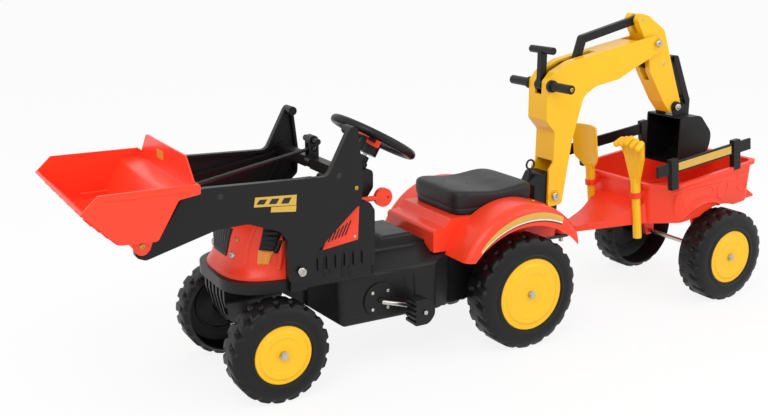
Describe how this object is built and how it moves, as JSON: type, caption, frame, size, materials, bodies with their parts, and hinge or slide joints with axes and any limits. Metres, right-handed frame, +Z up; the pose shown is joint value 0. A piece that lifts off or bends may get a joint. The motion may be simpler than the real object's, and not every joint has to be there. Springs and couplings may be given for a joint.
{
  "type": "ride on tractor toy",
  "caption": "Pedal tractor ride on toy with tilting front loader scoop, jointed rear digger arm, steered front wheels and a towed trailer holding a toy spade and rake.",
  "frame": {"origin": "on the floor, below the middle of the whole set's bounding box", "axes": "+X forward along the tractor, +Y to the rider's left, +Z up"},
  "size_m": [1.7896, 0.418, 0.7466],
  "materials": {
    "black_plastic": "satin moulded black",
    "seat_plastic": "fine grained black",
    "red_plastic": "glossy red orange",
    "yellow_plastic": "glossy yellow",
    "wheel_plastic": "satin blow moulded black",
    "zinc_steel": "zinc plated",
    "black_steel": "black painted",
    "amber_lens": "clear amber",
    "white_nylon": "natural nylon"
  },
  "bodies": {
    "tractor": {"chassis_shell": "black_plastic", "bonnet": "red_plastic", "bonnet_trim": "black_plastic", "headlight_lenses": "amber_lens", "side_vents": "red_plastic", "dashboard": "black_plastic", "fender_deck": "red_plastic", "seat": "seat_plastic", "crank_covers": "black_plastic", "body_screws": "zinc_steel", "front_axle_beam": "black_steel", "shaft_bushes": "white_nylon", "drive_chain": "black_steel", "digger_mount": "black_steel", "hitch_pin": "zinc_steel"},
    "steering": {"steering_wheel": "black_plastic", "steering_shaft": "zinc_steel"},
    "horn": {"horn_button": "red_plastic"},
    "key": {"ignition_key": "red_plastic"},
    "knuckle_left_body": {"knuckle_left": "black_steel"},
    "knuckle_right_body": {"knuckle_right": "black_steel"},
    "tie_rod_body": {"tie_rod": "zinc_steel"},
    "front_wheel_left": {"front_tyre_left": "wheel_plastic", "front_rim_left": "yellow_plastic"},
    "front_wheel_right": {"front_tyre_right": "wheel_plastic", "front_rim_right": "yellow_plastic"},
    "rear_wheels": {"rear_axle": "zinc_steel", "rear_sprocket": "black_steel", "rear_tyres": "wheel_plastic", "rear_rims": "yellow_plastic"},
    "crank": {"crank_shaft": "zinc_steel", "chain_ring": "black_steel"},
    "left_pedal": {"pedal_left": "black_plastic"},
    "right_pedal": {"pedal_right": "black_plastic"},
    "loader": {"loader_arm_left": "black_plastic", "loader_arm_right": "black_plastic", "loader_cross_bars": "black_plastic", "loader_bolts": "zinc_steel"},
    "tilt_lever_body": {"tilt_lever": "black_plastic"},
    "tilt_rod_body": {"tilt_rod": "black_steel"},
    "scoop": {"loader_bucket": "red_plastic"},
    "swivel": {"swivel_bracket": "black_plastic"},
    "lock": {"lock_pin": "zinc_steel"},
    "boom_body": {"boom": "yellow_plastic", "boom_grips": "black_plastic", "boom_bolts": "zinc_steel"},
    "stick_lever_body": {"stick_lever": "black_plastic"},
    "stick_link_body": {"stick_link": "black_plastic"},
    "stick_body": {"stick": "yellow_plastic", "stick_bolts": "zinc_steel"},
    "rocker": {"bucket_rocker": "black_plastic"},
    "link": {"bucket_link": "black_plastic"},
    "digging_bucket": {"digger_bucket": "black_plastic"},
    "trailer": {"trailer_bed": "red_plastic", "bed_rails": "black_plastic"},
    "trailer_wheels": {"trailer_axle": "zinc_steel", "trailer_tyres": "wheel_plastic", "trailer_rims": "yellow_plastic"},
    "spade_body": {"spade": "yellow_plastic"},
    "rake_body": {"rake": "yellow_plastic"}
  },
  "joints": [
    {"name": "knuckle_left_steer", "type": "hinge", "parent": "tractor", "child": "knuckle_left_body", "pos_m": [0.51186, 0.092, 0.108], "axis": [0, 0, 1], "range_deg": [-22, 22]},
    {"name": "knuckle_right_steer", "type": "hinge", "parent": "tractor", "child": "knuckle_right_body", "pos_m": [0.51186, -0.092, 0.108], "axis": [0, 0, 1], "range_deg": [-22, 22]},
    {"name": "tie_rod_shift", "type": "hinge", "parent": "knuckle_left_body", "child": "tie_rod_body", "pos_m": [0.46686, 0.092, 0.093], "axis": [0, 0, 1], "range_deg": [-22, 22]},
    {"name": "steering_turn", "type": "hinge", "parent": "tractor", "child": "steering", "pos_m": [0.20036, 0, 0.499], "axis": [-0.5, 0, 0.866], "range_deg": [-22, 22]},
    {"name": "horn_press", "type": "slide", "parent": "steering", "child": "horn", "axis": [0.5, 0, -0.866], "range_m": [0, 0.003], "stiffness_N_per_m": 400},
    {"name": "key_turn", "type": "hinge", "parent": "tractor", "child": "key", "pos_m": [0.27336, 0.072, 0.378], "axis": [1, 0, 0], "range_deg": [0, 60]},
    {"name": "front_left_spin", "type": "hinge", "parent": "knuckle_left_body", "child": "front_wheel_left", "pos_m": [0.51186, 0.188, 0.108], "axis": [0, 1, 0], "continuous": true},
    {"name": "front_right_spin", "type": "hinge", "parent": "knuckle_right_body", "child": "front_wheel_right", "pos_m": [0.51186, -0.188, 0.108], "axis": [0, 1, 0], "continuous": true},
    {"name": "rear_axle_spin", "type": "hinge", "parent": "tractor", "child": "rear_wheels", "pos_m": [-0.10464, 0, 0.134], "axis": [0, 1, 0], "continuous": true},
    {"name": "crank_spin", "type": "hinge", "parent": "tractor", "child": "crank", "pos_m": [0.25536, 0, 0.163], "axis": [0, 1, 0], "continuous": true},
    {"name": "pedal_left_spin", "type": "hinge", "parent": "crank", "child": "left_pedal", "pos_m": [0.17846, 0.152, 0.14095], "axis": [0, 1, 0], "continuous": true},
    {"name": "pedal_right_spin", "type": "hinge", "parent": "crank", "child": "right_pedal", "pos_m": [0.33226, -0.152, 0.18505], "axis": [0, 1, 0], "continuous": true},
    {"name": "loader_lift", "type": "hinge", "parent": "tractor", "child": "loader", "pos_m": [0.45836, 0, 0.272], "axis": [0, 1, 0], "range_deg": [0, 45]},
    {"name": "bucket_tilt", "type": "hinge", "parent": "loader", "child": "scoop", "pos_m": [0.78236, 0, 0.377], "axis": [0, 1, 0], "range_deg": [0, 25]},
    {"name": "tilt_lever_swing", "type": "hinge", "parent": "loader", "child": "tilt_lever_body", "pos_m": [0.35236, 0, 0.459], "axis": [0, 1, 0], "range_deg": [0, 33.9]},
    {"name": "tilt_rod_swing", "type": "hinge", "parent": "scoop", "child": "tilt_rod_body", "pos_m": [0.73236, 0, 0.417], "axis": [0, 1, 0], "range_deg": [-28.6, 0]},
    {"name": "digger_swivel", "type": "hinge", "parent": "tractor", "child": "swivel", "pos_m": [-0.29964, 0, 0.262], "axis": [0, 0, 1], "range_deg": [-10, 10]},
    {"name": "lock_pin_lift", "type": "slide", "parent": "swivel", "child": "lock", "axis": [0, 0, 1], "range_m": [0, 0.02]},
    {"name": "boom_tilt", "type": "hinge", "parent": "swivel", "child": "boom_body", "pos_m": [-0.29964, 0, 0.305], "axis": [0, 1, 0], "range_deg": [0, 15]},
    {"name": "stick_swing", "type": "hinge", "parent": "boom_body", "child": "stick_body", "pos_m": [-0.61664, 0, 0.672], "axis": [0, 1, 0], "range_deg": [-10, 10]},
    {"name": "stick_lever_swing", "type": "hinge", "parent": "boom_body", "child": "stick_lever_body", "pos_m": [-0.26964, 0, 0.585], "axis": [0, 1, 0], "range_deg": [-10, 10]},
    {"name": "stick_link_swing", "type": "hinge", "parent": "stick_body", "child": "stick_link_body", "pos_m": [-0.56564, 0, 0.731], "axis": [0, 1, 0], "range_deg": [-10.2, 10.2]},
    {"name": "bucket_curl", "type": "hinge", "parent": "stick_body", "child": "digging_bucket", "pos_m": [-0.70064, 0, 0.5], "axis": [0, 1, 0], "range_deg": [-20, 20]},
    {"name": "rocker_swing", "type": "hinge", "parent": "stick_body", "child": "rocker", "pos_m": [-0.64964, 0, 0.615], "axis": [0, 1, 0], "range_deg": [-20, 20]},
    {"name": "bucket_link_swing", "type": "hinge", "parent": "rocker", "child": "link", "pos_m": [-0.70664, 0, 0.625], "axis": [0, 1, 0], "range_deg": [-20, 20]},
    {"name": "trailer_yaw", "type": "hinge", "parent": "tractor", "child": "trailer", "pos_m": [-0.35464, 0, 0.197], "axis": [0, 0, 1], "range_deg": [-10, 10]},
    {"name": "trailer_axle_spin", "type": "hinge", "parent": "trailer", "child": "trailer_wheels", "pos_m": [-0.76164, 0, 0.121], "axis": [0, 1, 0], "continuous": true},
    {"name": "spade_lift", "type": "slide", "parent": "trailer", "child": "spade_body", "axis": [0.1305, 0, 0.9914], "range_m": [0, 0.15]},
    {"name": "rake_lift", "type": "slide", "parent": "trailer", "child": "rake_body", "axis": [0.1305, 0, 0.9914], "range_m": [0, 0.15]}
  ],
  "couplings": [
    {"joint": "knuckle_right_steer", "follows": "knuckle_left_steer", "ratio": 1},
    {"joint": "tie_rod_shift", "follows": "knuckle_left_steer", "ratio": -1},
    {"joint": "steering_turn", "follows": "knuckle_left_steer", "ratio": 1},
    {"joint": "crank_spin", "follows": "rear_axle_spin", "ratio": 0.66667},
    {"joint": "tilt_lever_swing", "follows": "bucket_tilt", "ratio": 1.3489},
    {"joint": "tilt_rod_swing", "follows": "bucket_tilt", "ratio": -1.1354},
    {"joint": "stick_lever_swing", "follows": "stick_swing", "ratio": -0.9791},
    {"joint": "stick_link_swing", "follows": "stick_swing", "ratio": -1.0083},
    {"joint": "rocker_swing", "follows": "bucket_curl", "ratio": 1},
    {"joint": "bucket_link_swing", "follows": "bucket_curl", "ratio": -1}
  ]
}
